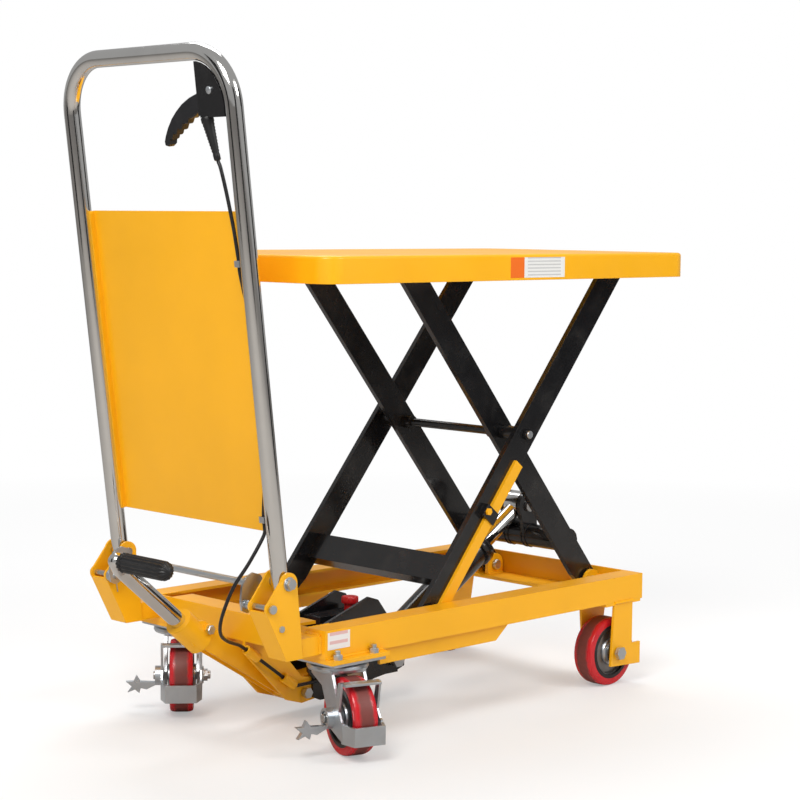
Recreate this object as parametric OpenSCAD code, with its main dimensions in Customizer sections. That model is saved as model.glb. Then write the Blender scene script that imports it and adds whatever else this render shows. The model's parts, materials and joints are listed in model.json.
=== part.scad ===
// Mobile scissor lift table with a foot pump.
// +X is the front (away from the handle), +Z is up, the floor is z = 0 and
// Y = 0 is the plane of symmetry of the frame.

/* [Deck] */
// Length of the deck
deck_l = 720; // [680:5:760]
// Width of the deck
deck_w = 400; // [396:2:410]
// Height of the deck's folded edge
deck_h = 35; // [35:1:40]
// Thickness of the deck sheet
deck_sheet = 3; // [2:0.5:3]
// Corner radius of the deck
deck_corner_r = 28; // [15:1:40]

/* [Scissor] */
// Length of an arm between its pivot and its roller
arm_l = 606; // [600:1:612]
// Angle of the arms above the floor at rest
arm_angle = 50.8; // [48:0.2:53]
// Width of an arm
arm_w = 39; // [36:1:40]
// Thickness of an arm
arm_t = 8; // [6:1:8]
// Radius of the scissor rollers
roller_r = 14; // [12:0.5:14]

/* [Base] */
// Half width of the base over the side rails
base_y = 186; // [184:1:188]
// Height of the side rails' underside
rail_z = 124; // [122:1:126]
// Height of the rail section
rail_h = 37; // [37:1:40]
// Width of the rail flanges
rail_flange = 34; // [32:1:34]
// Wall of the rails
rail_t = 4; // [3:0.5:4]

/* [Wheels] */
// Diameter of the wheels
wheel_d = 100; // [94:1:100]
// Width of the tread
wheel_w = 32; // [26:1:32]
// Trail of the swivel casters
caster_trail = 40; // [36:1:40]
// Swivel angle of the right caster
caster_right_a = -108; // [-180:1:180]
// Swivel angle of the left caster
caster_left_a = -130; // [-180:1:180]

/* [Handle] */
// Height of the handle's top bar
handle_top_z = 875; // [820:5:900]
// Half width of the handle between tube centres
handle_y = 163; // [163:1:163]
// Rearward lean of the handle
handle_lean = 7.3; // [5:0.1:9]
// Radius of the handle tube
handle_tube_r = 11; // [10:0.5:11]

/* [Hydraulics] */
// Radius of the cylinder barrel
barrel_r = 22; // [20:1:23]
// Radius of the piston rod
piston_r = 12.5; // [10:0.5:13]

/* [Hidden] */
$fn = 64;
fit = 0.06;             // radial running clearance
eps = 1;                // overrun of cutters

// scissor geometry
pivot_x = 357;
pivot_z = 142.5;
inner_y = 98;           // middle of an inner arm
outer_y = 142;          // middle of an outer arm
pin_r = 8;
roller_pin_r = 6;
reach = arm_l * cos(arm_angle);
rise = arm_l * sin(arm_angle);
top_z = pivot_z + rise;
roller_x = pivot_x - reach;
mid_x = pivot_x - reach / 2;
mid_z = pivot_z + rise / 2;
deck_top = top_z + 18;
deck_x0 = -262;

// hydraulic cylinder
pump_x = 20;
pump_z = 62;
pin_s = 109;            // rod pin, along the inner arm from its pivot
pin_n = 35;             // rod pin, off the inner arm's middle line
tube_s = 69;
tube_n = 12.5;
tube_r = 17;
rod_pin_x = pivot_x - pin_s * cos(arm_angle) + pin_n * sin(arm_angle);
rod_pin_z = pivot_z + pin_s * sin(arm_angle) + pin_n * cos(arm_angle);
rod_len = norm([rod_pin_x - pump_x, rod_pin_z - pump_z]);
rod_a = atan2(rod_pin_z - pump_z, rod_pin_x - pump_x);
gland_s = 250;
plunger_x = -84;
eye_r = 20.5;            // rod eye
eye_hole_r = 14;         // clearance round the clevis pin
lug_r = 20.5;            // clevis lugs round the rod pin

// base
rail_x0 = -250;
rail_x1 = 382;
front_axle = [327, 50];
caster_x = -203;
caster_y = 158;
caster_plate_y = 198;

// handle
handle_px = -306;
handle_pz = 227;
handle_len = (handle_top_z - handle_pz) / cos(handle_lean);
handle_bend_r = 68;
latch_x = -335;
latch_z = 199;

trigger_y = 128;
trigger_z = handle_len - handle_bend_r + 21;

// foot pedal
pedal_x = -145;
pedal_z = 40;

guide_y = 37.6;
cable_d = 4.6;
cable_hole_r = cable_d / 2 + 0.5;
// release cable, from the trigger down to the lower clip
cable_top = [
    [-375, -127, 742.6], [-374, -130.5, 734], [-370, -137, 703], [-365, -143.5, 663],
    [-361, -147, 630], [-359.7, -147.5, 620], [-358.4, -147.5, 610], [-352, -147, 588],
    [-344.7, -147, 560], [-337, -147, 500], [-329.3, -147, 440], [-322.6, -147, 388],
    [-318.8, -147.3, 345], [-319.5, -147.5, 313], [-319.2, -147.5, 305], [-318.7, -147.5, 300.8]
];
// release cable, from the lower clip to the pump's release valve
cable_low = [
    [-318.57, -147.5, 299.8], [-318, -147.5, 295], [-319, -147, 284], [-336, -140, 252],
    [-351, -127, 220], [-350, -104, 180], [-332, -80, 153], [-302, -58, 136],
    [-270, -42, 124], [-254, -37.6, 114.8], [-234, -37.6, 100.8], [-210, -37.6, 83.5],
    [-190, -37.6, 68.8], [-170, -37.6, 54.8], [-150, -37.6, 53.5], [-110, -37.6, 55],
    [-84, -37.6, 61], [-74, -37.6, 62], [-66.3, -37.6, 62]
];

// ---- shared shapes ----

// Outline in the XZ plane, extruded from y0 to y1.
module plate_y(y0, y1, pts) {
    translate([0, y1, 0]) rotate([90, 0, 0]) linear_extrude(y1 - y0) polygon(pts);
}

// Outline in the YZ plane, extruded from x0 to x1.
module plate_x(x0, x1, pts) {
    translate([x0, 0, 0]) rotate([90, 0, 90]) linear_extrude(x1 - x0) polygon(pts);
}

module block(lo, hi) {
    translate(lo) cube(hi - lo);
}

// Cylinder along Y.
module rod_y(x, z, r, y0, y1) {
    translate([x, y0, z]) rotate([-90, 0, 0]) cylinder(r = r, h = y1 - y0);
}

// Cylinder between two points.
module rod_pp(a, b, r) {
    d = b - a;
    translate(a)
        rotate([0, acos(d.z / norm(d)), atan2(d.y, d.x)])
            cylinder(r = r, h = norm(d));
}

// Hexagon head along Y.
module hex_y(x, z, af, y0, y1) {
    translate([x, y0, z]) rotate([-90, 0, 0])
        cylinder(r = af / sqrt(3), h = y1 - y0, $fn = 6);
}

module both_sides() {
    children();
    mirror([0, 1, 0]) children();
}

module rounded_rect(l, w, r) {
    translate([r, 0]) square([l - 2 * r, w]);
    translate([0, r]) square([l, w - 2 * r]);
    for (x = [r, l - r], y = [r, w - r]) translate([x, y]) circle(r);
}

// Frames that follow the two arms: the arm runs along local -X.
module along_inner() {
    translate([pivot_x, 0, pivot_z]) rotate([0, arm_angle, 0]) children();
}

module along_outer() {
    translate([pivot_x, 0, top_z]) rotate([0, -arm_angle, 0]) children();
}

module along_cylinder() {
    translate([pump_x, 0, pump_z]) rotate([0, -rod_a, 0]) children();
}

module along_handle() {
    translate([handle_px, 0, handle_pz]) rotate([0, -handle_lean, 0]) children();
}

module at_caster(side, angle) {
    translate([caster_x, side * caster_y, 0]) rotate([0, 0, angle]) children();
}

// Swept tube along a list of points.
function unit(v) = v / norm(v);
function heading(p, i) = unit(p[min(i + 1, len(p) - 1)] - p[max(i - 1, 0)]);
function across(d) = unit(cross(d, abs(d.y) > 0.9 ? [1, 0, 0] : [0, 1, 0]));
function ring(p, i, r, n) =
    let (d = heading(p, i), u = across(d), v = cross(d, u))
    [for (k = [0 : n - 1]) p[i] + r * (cos(360 * k / n) * u + sin(360 * k / n) * v)];
function spline_at(p, i, t) =
    let (a = p[max(i - 1, 0)], b = p[i], c = p[i + 1], d = p[min(i + 2, len(p) - 1)])
    0.5 * (2 * b + (c - a) * t + (2 * a - 5 * b + 4 * c - d) * t * t
        + (3 * b - a - 3 * c + d) * t * t * t);
function smooth(p, k) = concat(
    [for (i = [0 : len(p) - 2], j = [0 : k - 1]) spline_at(p, i, j / k)],
    [p[len(p) - 1]]);

module swept(path, r, n = 8) {
    m = len(path);
    points = [for (i = [0 : m - 1]) each ring(path, i, r, n)];
    sides = [for (i = [0 : m - 2], k = [0 : n - 1])
        [i * n + k, (i + 1) * n + k, (i + 1) * n + (k + 1) % n, i * n + (k + 1) % n]];
    start = [[for (k = [0 : n - 1]) k]];
    end = [[for (k = [n - 1 : -1 : 0]) (m - 1) * n + k]];
    polyhedron(points, concat(sides, start, end), convexity = 6);
}

// ---- base ----

module side_rail() {
    y0 = base_y - rail_flange;
    y1 = base_y - rail_t;
    z1 = rail_z + rail_h;
    plate_x(rail_x0, rail_x1 - rail_t, [
        [y0, rail_z], [base_y, rail_z], [base_y, z1], [y0, z1],
        [y0, z1 - rail_t], [y1, z1 - rail_t], [y1, rail_z + rail_t], [y0, rail_z + rail_t]
    ]);
    block([rail_x0, y0, rail_z + rail_t], [rail_x0 + 3, y1, z1 - rail_t]);
}

module side_rail_left() {
    color("orange") side_rail();
}

module side_rail_right() {
    color("orange") mirror([0, 1, 0]) side_rail();
}

module rear_beam() {
    y0 = base_y - rail_flange;
    z1 = rail_z + rail_h;
    color("orange") {
        block([rail_x0, -y0, rail_z], [rail_x0 + 3, y0, z1]);
        for (z = [rail_z, z1 - rail_t])
            block([rail_x0 + 3, -126, z], [rail_x0 + 38, 126, z + rail_t]);
    }
}

module front_beam() {
    y0 = base_y - rail_flange;
    color("orange") {
        block([rail_x1 - rail_t, -base_y, rail_z], [rail_x1, base_y, rail_z + rail_h]);
        block([330, -y0, rail_z], [rail_x1 - rail_t, y0, rail_z + rail_t]);
    }
}

// Two lug pairs that hold the lower ends of the inner arms.
module pivot_lugs() {
    z0 = rail_z + rail_t;
    color("orange") both_sides()
        for (y = [inner_y - 14, inner_y + 8])
            difference() {
                union() {
                    block([pivot_x - 17, y, z0], [pivot_x + 17, y + 6, pivot_z]);
                    rod_y(pivot_x, pivot_z, 17, y, y + 6);
                }
                rod_y(pivot_x, pivot_z, pin_r, y - eps, y + 6 + eps);
                block([pivot_x - 20, y - eps, rail_z], [pivot_x + 20, y + 7, z0]);
            }
}

// Slanted plates under the side rails.
module skirt_plates() {
    color("orange") both_sides()
        plate_y(base_y - 10, base_y - 6, [[-149, rail_z], [-149, 103], [72, 103], [98, rail_z]]);
}

module caster_mounts() {
    color("orange") both_sides()
        difference() {
            block([-249, 122, rail_z - 6], [-149, caster_plate_y, rail_z]);
            translate([caster_x, caster_y, rail_z - 7]) cylinder(r = 10 + fit, h = 8);
        }
}

module caster_top_plates() {
    color("silver") both_sides()
        difference() {
            block([-244, 124, rail_z - 10], [-154, caster_plate_y - 2, rail_z - 6]);
            translate([caster_x, caster_y, rail_z - 11]) cylinder(r = 10 + fit, h = 6);
        }
}

// Forks of the fixed front wheels.
module wheel_brackets() {
    color("orange") both_sides() {
        block([300, 132, rail_z - 4], [rail_x1 - 4, base_y, rail_z]);
        difference() {
            plate_y(base_y - 4, base_y, [
                [319, rail_z - 4], [360, rail_z - 4], [360, 60], [379, 60], [379, 28], [313, 31]
            ]);
            rod_y(front_axle.x, front_axle.y, roller_pin_r, 180, 190);
        }
        difference() {
            plate_y(132, 136, [[303, rail_z - 4], [360, rail_z - 4], [345, 36], [311, 36]]);
            rod_y(front_axle.x, front_axle.y, roller_pin_r, 130, 140);
        }
    }
}

// Folded brackets that carry the handle.
module handle_brackets() {
    outline = [[-316.4, 235.2], [-341.4, 204.2], [-342.4, 194.6], [-309, 130],
        [-282, 130], [-292.6, 228]];
    color("gold") both_sides() {
        for (y = [146, 177])
            difference() {
                union() {
                    plate_y(y, y + 3, outline);
                    rod_y(handle_px, handle_pz, 14, y, y + 3);
                    rod_y(latch_x, latch_z, 9, y, y + 3);
                }
                rod_y(handle_px, handle_pz, roller_pin_r, y - eps, y + 3 + eps);
                rod_y(latch_x, latch_z, 4, y - eps, y + 3 + eps);
            }
        plate_y(149, 177, [[-342, 194], [-339.6, 195.2], [-304, 134], [-304, 130],
            [-309, 130]]);
        block([-306, 149, 130], [rail_x0, 177, 154]);
    }
}

// Cheeks that hold the pedal, with two guide tubes for the cable.
module pedal_bracket() {
    color("gold") {
        for (y = [-31, 26])
            difference() {
                plate_y(y, y + 5, [[rail_x0, rail_z], [rail_x0, 108], [-176, 34], [-150, 26],
                    [-116, 30], [-116, 56], [-150, 62], [-206, rail_z]]);
                rod_y(pedal_x, pedal_z, roller_pin_r, y - eps, y + 5 + eps);
            }
        for (p = [[-250, 112], [-186, 66]])
            difference() {
                rod_pp([p.x - 4, -guide_y, p.y + 3], [p.x + 16, -guide_y, p.y - 11], 6.5);
                rod_pp([p.x - 5, -guide_y, p.y + 3.7], [p.x + 17, -guide_y, p.y - 11.7], cable_hole_r + 0.6);
            }
    }
}

// Side plates and floor that carry the pump.
module pump_cradle() {
    color("dimgray") {
        for (y = [-35, 31])
            difference() {
                plate_y(y, y + 4, [[-133, 32], [-133, 58], [-142, 68], [-142, 112], [-128, 124],
                    [-30, 156], [-12, 150], [40, 84], [40, 50], [28, 46], [-20, 40], [-60, 26],
                    [-120, 26]]);
                rod_y(pump_x, pump_z, 9, y - eps, y + 4 + eps);
            }
        block([-110, -31, 26], [-62, 31, 30]);
        block([-66, -42, 56], [-54, -35, 68]);
    }
}

// Pins and axles fixed to the base.
module base_pins() {
    color("silver") {
        both_sides() {
            rod_y(pivot_x, pivot_z, pin_r, 82, 116);
            rod_y(front_axle.x, front_axle.y, roller_pin_r, 131, 189);
            rod_y(handle_px, handle_pz, roller_pin_r, 144, 182);
            rod_y(latch_x, latch_z, 4, 130, 182);
        }
        rod_y(pump_x, pump_z, 9, -40, 40);
        rod_y(pedal_x, pedal_z, roller_pin_r, -34, 34);
    }
}

// Bolt heads and nuts on the base.
module base_bolts() {
    color("silver") {
        both_sides() {
            hex_y(front_axle.x, front_axle.y, 17, 189, 195);
            hex_y(handle_px, handle_pz, 12, 182, 187);
            rod_y(latch_x, latch_z, 5.5, 182, 185);
            rod_y(-318, 172, 4, 180, 182);
            for (x = [-235, -172])
                translate([x, caster_plate_y - 5.5, rail_z]) {
                    cylinder(r = 6.4, h = 6, $fn = 6);
                    cylinder(r = 3.5, h = 11);
                }
        }
        hex_y(pedal_x, pedal_z, 13, -40, -34);
        hex_y(pedal_x, pedal_z, 13, 34, 40);
        hex_y(pump_x, pump_z, 19, -46, -40);
        hex_y(pump_x, pump_z, 19, 40, 46);
        hex_y(-100, 96, 13, -40, -35);
    }
}

module cable_lower() {
    color("black") swept(smooth(cable_low, 3), cable_d / 2);
}

// ---- scissor ----

// Arm along local -X; the pivot end is clipped on the side given by s.
module arm(y, s, roller_bore, pivot_bore) {
    h = arm_w / 2;
    outline = [
        [12, -6], [6, -12], [-30, -h], [-arm_l - 8, -h], [-arm_l - 14, -h + 8],
        [-arm_l - 12, 6], [-arm_l - 6, 12], [-arm_l + 30, h], [4, h], [13, h - 9]
    ];
    difference() {
        plate_y(y - arm_t / 2, y + arm_t / 2, [for (p = outline) [p.x, s * p.y]]);
        rod_y(0, 0, pivot_bore, y - 10, y + 10);
        rod_y(-arm_l, 0, roller_bore, y - 10, y + 10);
        rod_y(-arm_l / 2, 0, 6 + (s < 0 ? fit : 0), y - 10, y + 10);
    }
}

module inner_arm_left() {
    color("black") along_inner() arm(inner_y, 1, roller_pin_r, pin_r + fit);
}

module inner_arm_right() {
    color("black") along_inner() arm(-inner_y, 1, roller_pin_r, pin_r + fit);
}

module outer_arm_left() {
    color("black") along_outer() arm(outer_y, -1, roller_pin_r, pin_r + fit);
}

// Right outer arm, with the strap that holds the prop bar against it.
module outer_arm_right() {
    y = outer_y + arm_t / 2;
    x = -arm_l / 2;
    color("black") along_outer() {
        arm(-outer_y, -1, roller_pin_r, pin_r + fit);
        block([x - 140, -y - 8.3, -19], [x - 122, -y - 5.4, 8]);
        block([x - 140, -y - 8.3, -2.9], [x - 122, -y + 1, 8]);
    }
}

module torque_tube() {
    y = inner_y - arm_t / 2;
    color("black") along_inner() difference() {
        rod_y(-tube_s, tube_n, tube_r, -y, y);
        rod_y(-tube_s, tube_n, tube_r - 4, -y - eps, y + eps);
    }
}

// Lugs on the torque tube that hold the rod's pin.
module clevis_lugs() {
    color("black") along_inner() both_sides()
        difference() {
            union() {
                plate_y(14, 20, [[-tube_s, tube_n + 16], [-tube_s, tube_n - 16],
                    [-pin_s, pin_n - lug_r], [-pin_s, pin_n + lug_r]]);
                rod_y(-pin_s, pin_n, lug_r, 14, 20);
            }
            rod_y(-tube_s, tube_n, tube_r, 13, 21);
            rod_y(-pin_s, pin_n, 7, 13, 21);
        }
}

// Rod through the four arms, with spacers between them.
module centre_rod() {
    color("silver") along_inner() {
        x = -arm_l / 2;
        rod_y(x, 0, 6, -153, 153);
        both_sides() {
            rod_y(x, 0, 9.5, 78, inner_y - arm_t / 2);
            rod_y(x, 0, 10, inner_y + arm_t / 2, outer_y - arm_t / 2 - 0.5);
            hex_y(x, 0, 13, outer_y + arm_t / 2 + 0.5, 151);
        }
    }
}

module inner_pins() {
    color("silver") along_inner() {
        rod_y(-pin_s, pin_n, 7, -24, 24);
        both_sides() {
            rod_y(-pin_s, pin_n, 8.5, 20, 24);
            rod_y(-arm_l, 0, roller_pin_r, 90, 129);
            rod_y(-arm_l, 0, 9, 88, 94);
        }
    }
}

// Rectangular tube with gussets between the outer arms.
module cross_tube() {
    y = outer_y - arm_t / 2;
    x = -arm_l / 2 - 227;
    color("black") along_outer() difference() {
        block([x - 20, -y, -18], [x + 20, y, 2]);
        block([x - 17, -y - eps, -15], [x + 17, y + eps, -1]);
    }
}

module outer_pins() {
    color("silver") along_outer() both_sides() {
        rod_y(-arm_l, 0, roller_pin_r, 132, 181);
        rod_y(-arm_l, 0, 9, 132, 138);
        rod_y(-arm_l, 0, 8, 179, 181);
    }
}

// Prop bar that lies along the right outer arm, with its bolts.
module safety_bar() {
    y = outer_y + arm_t / 2;
    x = -arm_l / 2;
    color("gold") along_outer() {
        block([x - 287, -y - 5.3, -19], [x - 42, -y, -3]);
        hex_y(x - 131, 2.5, 9, -y - 11.8, -y - 8.3);
        block([x - 140, y, -8], [x - 118, y + 3, 8]);
        hex_y(x - 129, 0, 10, y + 3, y + 7);
    }
}

module roller(x, z, y0, y1) {
    difference() {
        rod_y(x, z, roller_r, y0, y1);
        rod_y(x, z, roller_pin_r + fit, y0 - eps, y1 + eps);
    }
}

module roller_lower_left() {
    color("gray") roller(roller_x, pivot_z, 154, 178);
}

module roller_lower_right() {
    color("gray") roller(roller_x, pivot_z, -178, -154);
}

module roller_upper_left() {
    color("gray") roller(roller_x, top_z, 108, 128);
}

module roller_upper_right() {
    color("gray") roller(roller_x, top_z, -128, -108);
}

// ---- deck ----

module deck_pan() {
    z0 = deck_top - deck_h;
    inner = [deck_l - 2 * deck_sheet, deck_w - 2 * deck_sheet];
    color("orange") difference() {
        translate([deck_x0, -deck_w / 2, z0])
            linear_extrude(deck_h) rounded_rect(deck_l, deck_w, deck_corner_r);
        translate([deck_x0 + deck_sheet, -inner.y / 2, z0 - eps])
            linear_extrude(deck_h - deck_sheet + eps)
                rounded_rect(inner.x, inner.y, deck_corner_r - deck_sheet);
    }
}

// Roller tracks and pivot lugs under the deck.
module deck_underframe() {
    z1 = deck_top - deck_sheet;
    z0 = top_z - roller_r - 0.5;
    color("orange") both_sides() {
        plate_x(-252, 90, [[106, z0 - 3], [133, z0 - 3], [133, z1], [130, z1],
            [130, z0], [106, z0]]);
        for (y = [outer_y - 11, outer_y + 6])
            difference() {
                union() {
                    block([pivot_x - 18, y, top_z], [pivot_x + 18, y + 5, z1]);
                    rod_y(pivot_x, top_z, 18, y, y + 5);
                }
                rod_y(pivot_x, top_z, pin_r, y - eps, y + 5 + eps);
                block([pivot_x - 20, y - eps, z1], [pivot_x + 20, y + 6, z1 + 10]);
            }
    }
}

module deck_pins() {
    color("silver") both_sides() {
        rod_y(pivot_x, top_z, pin_r, 129, 155);
        hex_y(pivot_x, top_z, 17, 153, 159);
    }
}

// ---- hydraulics ----

// Pump block and cylinder barrel in one piece.
module pump_body() {
    color("black") difference() {
        union() {
            along_cylinder() {
                rotate([0, 90, 0]) cylinder(r = barrel_r, h = gland_s - 14);
                translate([gland_s - 14, 0, 0]) rotate([0, 90, 0])
                    cylinder(r = barrel_r + 3, h = 14);
            }
            block([-52, -26, 40], [36, 26, 92]);
            block([-52, -18, 92], [-14, 18, 134]);
            block([-104, -16, 94], [-52, 16, 134]);
        }
        rod_y(pump_x, pump_z, 9 + fit, -30, 30);
        along_cylinder() translate([36, 0, 0]) rotate([0, 90, 0])
            cylinder(r = piston_r + 0.4, h = gland_s);
        translate([plunger_x, 0, 90]) cylinder(r = 8.3, h = 40);
    }
}

// Red drain and vent knob on the pump block.
module release_knob() {
    color("red") {
        translate([-33, 0, 134]) cylinder(r = 8, h = 10);
        translate([-33, 0, 144]) cylinder(r = 12, h = 9);
    }
}

// Arm on the release valve that the cable pulls.
module release_arm() {
    color("silver") {
        rod_y(-36, 50, 5, -30.6, -26.3);
        plate_y(-30.3, -26.5, [[-40, 46], [-32, 46], [-62, 66], [-66, 60]]);
    }
}

module pump_plunger() {
    color("silver") {
        translate([plunger_x, 0, 74]) cylinder(r = 8, h = 37);
        translate([plunger_x, 0, 68]) cylinder(r = 11, h = 6);
    }
}

// Piston rod; its eye has clearance on the clevis pin.
module piston_rod() {
    color("white") along_cylinder() difference() {
        union() {
            translate([112, 0, 0]) rotate([0, 90, 0])
                cylinder(r = piston_r, h = rod_len - 112 - 17);
            rod_y(rod_len, 0, eye_r, -12, 12);
        }
        rod_y(rod_len, 0, eye_hole_r, -20, 20);
    }
}

// ---- foot pedal ----

module pedal_lever() {
    color("gold") difference() {
        union() {
            plate_y(-14, 14, [[-160, 30], [-130, 26], [-74, 52], [-74, 62], [-130, 58],
                [-158, 50], [-304, 156], [-322, 158], [-332, 140], [-322, 126], [-306, 120]]);
            rod_y(pedal_x, pedal_z, 15, -22, 22);
            rod_pp([-336, 0, 158], [-300, 0, 127], 19);
            hex_y(-300, 145, 13, -19, -14);
        }
        rod_y(pedal_x, pedal_z, roller_pin_r + fit, -30, 30);
        rod_pp([-340, 0, 161.4], [-304, 0, 130.4], 11);
        block([-300, -10, 30], [-165, 10, 190]);
    }
}

module pedal_tube() {
    color("white") {
        rod_pp([-428, 0, 237.2], [-306, 0, 132.1], 11);
        translate([-428, 0, 237.2]) sphere(r = 11);
        rod_pp([-428, 0, 237.2], [-444, -14, 250], 11);
        translate([-444, -14, 250]) sphere(r = 11);
        translate([-444, -106, 250]) rotate([-90, 0, 0]) cylinder(r = 8, h = 92);
    }
}

module pedal_grip() {
    color("black") difference() {
        union() {
            translate([-444, -108, 250]) rotate([-90, 0, 0]) cylinder(r = 12.5, h = 80);
            translate([-444, -108, 250]) sphere(r = 12.5);
        }
        translate([-444, -106, 250]) rotate([-90, 0, 0]) cylinder(r = 8, h = 92);
    }
}

// ---- handle ----

module handle_tube() {
    straight = handle_len - handle_bend_r;
    r = handle_tube_r;
    y = handle_y - handle_bend_r;
    color("white") along_handle() difference() {
        union() {
            both_sides() {
                translate([0, handle_y, -14]) cylinder(r = r, h = straight + 14);
                translate([0, y, straight]) rotate([90, 0, 90])
                    rotate_extrude(angle = 90) translate([handle_bend_r, 0]) circle(r);
            }
            rod_y(0, handle_len, r, -y, y);
        }
        rod_y(0, 0, roller_pin_r + fit, -200, 200);
    }
}

module handle_panel() {
    edge = handle_y - handle_tube_r + 0.3;
    color("gold") along_handle() {
        block([8, -edge, 60], [10.5, edge, 459]);
        both_sides() block([1, edge - 2.5, 60], [8, edge, 459]);
    }
}

// Folded bracket in the corner of the handle that carries the trigger.
module trigger_bracket() {
    y = handle_y - handle_bend_r;
    z = handle_len - handle_bend_r;
    r = handle_bend_r - handle_tube_r;
    color("dimgray") along_handle() {
        difference() {
            plate_x(-7, -4, concat([[-y - 8, z - 9], [-y - r, z - 9]],
                [for (a = [0 : 10 : 80]) [-y - r * cos(a), z + r * sin(a)]], [[-y - 8, z + 56]]));
            translate([-20, -trigger_y, trigger_z]) rotate([0, 90, 0]) cylinder(r = 4, h = 40);
        }
        block([-7, -y - r, z - 11.5], [8, -y - 11, z - 9]);
        translate([-8.5, -trigger_y, trigger_z]) rotate([0, 90, 0]) cylinder(r = 4, h = 17);
    }
}

// Clips that hold the cable on the handle.
module cable_clips() {
    color("silver") along_handle()
        for (z = [79, 397])
            difference() {
                block([-7, -152, z - 4], [0.6, -143, z + 4]);
                translate([-3.2, -147.5, z - 10]) cylinder(r = cable_hole_r, h = 20);
            }
}

// Upper cable with the tapered boot where it leaves the trigger.
module cable_upper() {
    top = [-3, -113.5, 572.5];
    end = [-3, -126, 524];
    d = end - top;
    color("black") {
        swept(smooth(cable_top, 3), cable_d / 2);
        along_handle() translate(top)
            rotate([0, acos(d.z / norm(d)), atan2(d.y, d.x)])
                cylinder(r1 = 6.5, r2 = 3.6, h = norm(d));
    }
}

module trigger_lever() {
    color("black") along_handle() difference() {
        plate_x(-3.4, 8, [[-134, 613], [-122, 614], [-110, 609], [-97, 602], [-82, 598],
            [-67, 591], [-55, 582], [-45, 573], [-35, 561], [-27, 548], [-28, 541],
            [-37, 541], [-44, 550], [-57, 558], [-69, 565], [-80, 573], [-96, 578],
            [-104, 582], [-116, 592], [-132, 597]]);
        translate([-20, -trigger_y, trigger_z]) rotate([0, 90, 0])
            cylinder(r = 4 + fit, h = 40);
    }
}

// Latch plates joined by their release rod.
module latch() {
    outline = [[-344, 192], [-346, 203], [-344, 222], [-338, 233], [-326, 238],
        [-314, 234], [-308, 224], [-310, 214], [-322, 204], [-327, 192], [-335, 188]];
    color("silver") {
        both_sides() difference() {
            plate_y(133, 136, outline);
            rod_y(latch_x, latch_z, 4 + fit, 126, 142);
        }
        rod_y(-335, 226, 4.5, -134, 134);
    }
}

// ---- casters and wheels ----

// Swivel fork, wheel trailing along local +X.
module caster_fork(side, angle) {
    outline = [[-28, 103], [34, 103], [56, 58], [52, 40], [40, 36], [30, 40],
        [4, 84], [-28, 94]];
    color("silver") at_caster(side, angle) {
        translate([0, 0, 107]) cylinder(r = 35, h = 6.5);
        translate([0, 0, 107]) cylinder(r = 10, h = 15);
        block([-30, -24, 103], [34, 24, 107]);
        both_sides() plate_y(20, 24, outline);
        rod_y(caster_trail, wheel_d / 2, roller_pin_r, -33, 33);
        both_sides() hex_y(caster_trail, wheel_d / 2, 15, 29.5, 35);
    }
}

module caster_fork_left() {
    caster_fork(1, caster_left_a);
}

module caster_fork_right() {
    caster_fork(-1, caster_right_a);
}

// Foot brake that turns on the wheel's axle: strap, top pedal and side lever.
module caster_brake(side, angle) {
    z = wheel_d / 2;
    arm = [[30, 46], [37, 37], [60, 30], [76, 26], [76, 50], [72, 51], [64, 62], [70, 94],
        [70, 99], [62, 99], [52, 64], [38, 62]];
    color("silver") at_caster(side, angle) {
        both_sides() difference() {
            plate_y(25, 28, arm);
            rod_y(caster_trail, z, roller_pin_r + fit, 20, 30);
        }
        both_sides() translate([0, 0, 24]) linear_extrude(24)
            polygon([[72, 25], [94, 17.5], [98, 17.5], [98, 21], [75, 28], [72, 28]]);
        block([94, -18, 24], [98, 18, 48]);
        block([62, -25, 96], [78, 25, 99]);
        difference() {
            rod_y(caster_trail, z, 13, -36.5, -28);
            rod_y(caster_trail, z, 9.3, -40, -27);
        }
        plate_x(36, 44, [[-29, 41], [-29, 37], [-36, 37], [-48, 31], [-56, 33], [-58, 26],
            [-64, 31], [-74, 27], [-68, 35], [-76, 42], [-66, 42], [-62, 50], [-57, 42],
            [-38, 41]]);
    }
}

module caster_brake_left() {
    caster_brake(1, caster_left_a);
}

module caster_brake_right() {
    caster_brake(-1, caster_right_a);
}

// Tyre and hub, both centred on a Y axle at (x, y, z).
module tyre(x, y, z) {
    r = wheel_d / 2;
    color("firebrick") difference() {
        rod_y(x, z, r, y - wheel_w / 2, y + wheel_w / 2);
        rod_y(x, z, r - 13, y - wheel_w, y + wheel_w);
    }
}

module hub(x, y, z, half) {
    r = wheel_d / 2 - 13;
    color("silver") difference() {
        union() {
            rod_y(x, z, r, y - 12, y + 12);
            rod_y(x, z, 15, y - half, y + half);
        }
        rod_y(x, z, roller_pin_r + fit, y - 40, y + 40);
        for (s = [-1, 1])
            difference() {
                rod_y(x, z, r - 5, y + s * 10 - 3, y + s * 10 + 3);
                rod_y(x, z, 19, y + s * 10 - 4, y + s * 10 + 4);
            }
    }
}

module rear_tyre_left() {
    at_caster(1, caster_left_a) tyre(caster_trail, 0, wheel_d / 2);
}

module rear_tyre_right() {
    at_caster(-1, caster_right_a) tyre(caster_trail, 0, wheel_d / 2);
}

module rear_hub_left() {
    at_caster(1, caster_left_a) hub(caster_trail, 0, wheel_d / 2, 19);
}

module rear_hub_right() {
    at_caster(-1, caster_right_a) hub(caster_trail, 0, wheel_d / 2, 19);
}

module front_tyre_left() {
    tyre(front_axle.x, 160, front_axle.y);
}

module front_tyre_right() {
    tyre(front_axle.x, -160, front_axle.y);
}

module front_hub_left() {
    hub(front_axle.x, 160, front_axle.y, 20);
}

module front_hub_right() {
    hub(front_axle.x, -160, front_axle.y, 20);
}

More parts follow.
